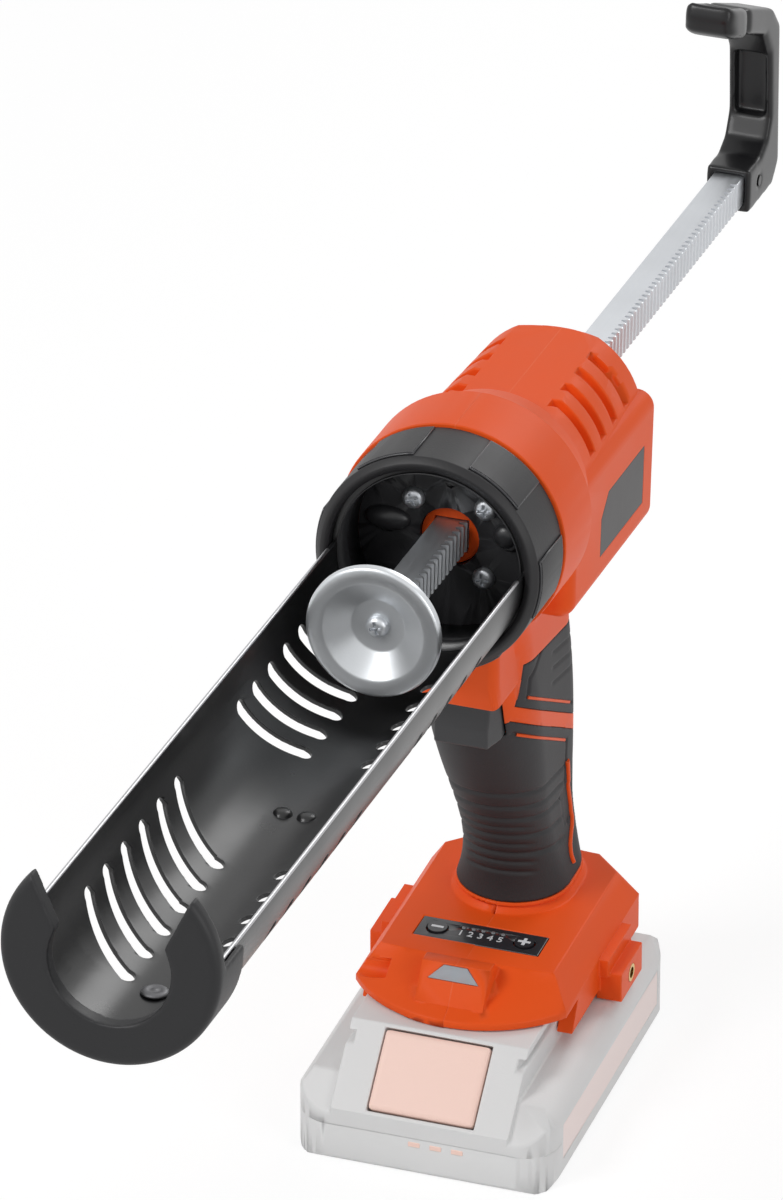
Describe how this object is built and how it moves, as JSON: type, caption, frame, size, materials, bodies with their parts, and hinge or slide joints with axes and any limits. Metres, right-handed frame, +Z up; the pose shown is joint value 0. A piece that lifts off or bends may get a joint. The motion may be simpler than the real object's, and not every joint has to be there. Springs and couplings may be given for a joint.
{
  "type": "cordless caulking tool",
  "caption": "Cordless caulking tool: slotted half-round cartridge tray, rack rod with push plate and pull handle, trigger grip, speed panel and slide-on battery.",
  "frame": {"origin": "middle of the battery's underside, where the tool stands", "axes": "+Z up, -Y towards the tool's front (the front stop), +X to the tool's own left"},
  "size_m": [0.076, 0.5534, 0.2413],
  "materials": {
    "housing_orange": "satin moulded",
    "collar_grey": "fine grain",
    "tray_black": "semi-gloss paint",
    "stop_black": "matt",
    "handle_black": "gloss",
    "zinc": "bright zinc plate",
    "gear_steel": "machined",
    "plate_black": "black paint",
    "cast_plate": "cast",
    "magnet": "sintered",
    "grip_rubber": "soft touch",
    "badge_grey": "bare",
    "trigger_grey": "fine grain",
    "panel_black": "gloss film",
    "led_white": "clear dome",
    "lens_clear": "clear",
    "inner_plastic": "moulded",
    "board_green": "solder mask",
    "brass": "turned",
    "battery_grey": "fine grain",
    "battery_button": "fine grain",
    "battery_stripe": "bare",
    "cell_wrap": "shrink wrap"
  },
  "bodies": {
    "housing": {"housing_left": "housing_orange", "housing_right": "housing_orange", "housing_screws": "gear_steel", "badge_left": "badge_grey", "badge_right": "badge_grey", "grip_front_cover": "grip_rubber", "grip_pad_left": "grip_rubber", "grip_pad_right": "grip_rubber", "grip_rear_strap": "grip_rubber", "front_plate": "plate_black", "front_plate_screws": "zinc", "rod_bush": "housing_orange", "rear_rod_guide": "inner_plastic", "switch_module": "inner_plastic", "control_panel": "panel_black", "indicator_leds": "led_white", "control_board": "board_green", "lamp_lens": "lens_clear", "lamp": "led_white", "belt_hook_inserts": "brass", "terminal_block": "inner_plastic", "terminal_blades": "brass", "pinion_bearing_lower": "brass", "pinion_bearing_upper": "brass", "ring_gear": "gear_steel", "motor_can": "gear_steel", "motor_end_cap": "inner_plastic", "motor_magnets": "magnet", "gearbox_lower_plate": "cast_plate", "gearbox_upper_plate": "cast_plate"},
    "tray": {"tray_shell": "tray_black", "front_stop": "stop_black", "tray_rivet": "zinc"},
    "collar_ring": {"collar": "collar_grey"},
    "rod": {"rack_rod": "zinc", "push_plate": "zinc", "push_plate_screw": "zinc", "pull_handle": "handle_black", "pull_handle_pin": "gear_steel"},
    "trigger_slider": {"trigger": "trigger_grey"},
    "plus": {"plus_button": "panel_black"},
    "minus": {"minus_button": "panel_black"},
    "pinion": {"pinion_shaft": "gear_steel", "clutch_dog": "gear_steel"},
    "wheel": {"drive_wheel": "gear_steel"},
    "carrier": {"planet_carrier": "gear_steel"},
    "planet_1": {"planet_gear_1": "gear_steel"},
    "planet_2": {"planet_gear_2": "gear_steel"},
    "planet_3": {"planet_gear_3": "gear_steel"},
    "rotor": {"motor_rotor": "gear_steel"},
    "battery": {"battery_lower_case": "battery_grey", "battery_upper_case": "battery_grey", "battery_contacts": "brass", "battery_stripes": "battery_stripe", "battery_cells": "cell_wrap", "cell_holder": "inner_plastic", "cell_links": "brass"},
    "latch": {"battery_release": "battery_button"}
  },
  "joints": [
    {"name": "rod_slide", "type": "slide", "parent": "housing", "child": "rod", "axis": [0, -0.9968, 0.0802], "range_m": [-0.054, 0.15]},
    {"name": "tray_turn", "type": "hinge", "parent": "housing", "child": "tray", "pos_m": [0, -0.052, 0.193], "axis": [0, -0.9968, 0.0802], "continuous": true},
    {"name": "collar_turn", "type": "hinge", "parent": "housing", "child": "collar_ring", "pos_m": [0, -0.052, 0.193], "axis": [0, -0.9968, 0.0802], "range_deg": [0, 300]},
    {"name": "trigger_pull", "type": "slide", "parent": "housing", "child": "trigger_slider", "axis": [0, 1, 0], "range_m": [0, 0.006], "stiffness_N_per_m": 800, "springref_m": -0.001},
    {"name": "plus_press", "type": "slide", "parent": "housing", "child": "plus", "axis": [0, 0, -1], "range_m": [0, 0.0006], "stiffness_N_per_m": 1500, "springref_m": -0.0002},
    {"name": "minus_press", "type": "slide", "parent": "housing", "child": "minus", "axis": [0, 0, -1], "range_m": [0, 0.0006], "stiffness_N_per_m": 1500, "springref_m": -0.0002},
    {"name": "pinion_turn", "type": "hinge", "parent": "housing", "child": "pinion", "pos_m": [0.0108, 0.02176, 0.18707], "axis": [0, 0.0802, 0.9968], "range_deg": [-445, 1232]},
    {"name": "rotor_turn", "type": "hinge", "parent": "housing", "child": "rotor", "pos_m": [0, 0.02176, 0.18707], "axis": [0, 0.0802, 0.9968], "continuous": true},
    {"name": "carrier_turn", "type": "hinge", "parent": "housing", "child": "carrier", "pos_m": [0, 0.02176, 0.18707], "axis": [0, 0.0802, 0.9968], "continuous": true},
    {"name": "wheel_turn", "type": "hinge", "parent": "housing", "child": "wheel", "pos_m": [0.0108, 0.02176, 0.18707], "axis": [0, 0.0802, 0.9968], "continuous": true},
    {"name": "planet_1_turn", "type": "hinge", "parent": "carrier", "child": "planet_1", "pos_m": [0.006, 0.02176, 0.18707], "axis": [0, 0.0802, 0.9968], "continuous": true},
    {"name": "planet_2_turn", "type": "hinge", "parent": "carrier", "child": "planet_2", "pos_m": [-0.003, 0.02694, 0.18665], "axis": [0, 0.0802, 0.9968], "continuous": true},
    {"name": "planet_3_turn", "type": "hinge", "parent": "carrier", "child": "planet_3", "pos_m": [-0.003, 0.01658, 0.18748], "axis": [0, 0.0802, 0.9968], "continuous": true},
    {"name": "battery_slide", "type": "slide", "parent": "housing", "child": "battery", "axis": [0, -1, 0], "range_m": [0, 0.06]},
    {"name": "latch_press", "type": "slide", "parent": "battery", "child": "latch", "axis": [0, 0.7071, -0.7071], "range_m": [0, 0.0025], "stiffness_N_per_m": 1000, "springref_m": -0.0005}
  ],
  "couplings": [
    {"joint": "pinion_turn", "follows": "rod_slide", "rad_per_m": 142.86},
    {"joint": "carrier_turn", "follows": "rotor_turn", "ratio": 0.2},
    {"joint": "planet_1_turn", "follows": "rotor_turn", "ratio": -0.53333},
    {"joint": "planet_2_turn", "follows": "rotor_turn", "ratio": -0.53333},
    {"joint": "planet_3_turn", "follows": "rotor_turn", "ratio": -0.53333},
    {"joint": "wheel_turn", "follows": "rotor_turn", "ratio": -0.12222}
  ]
}
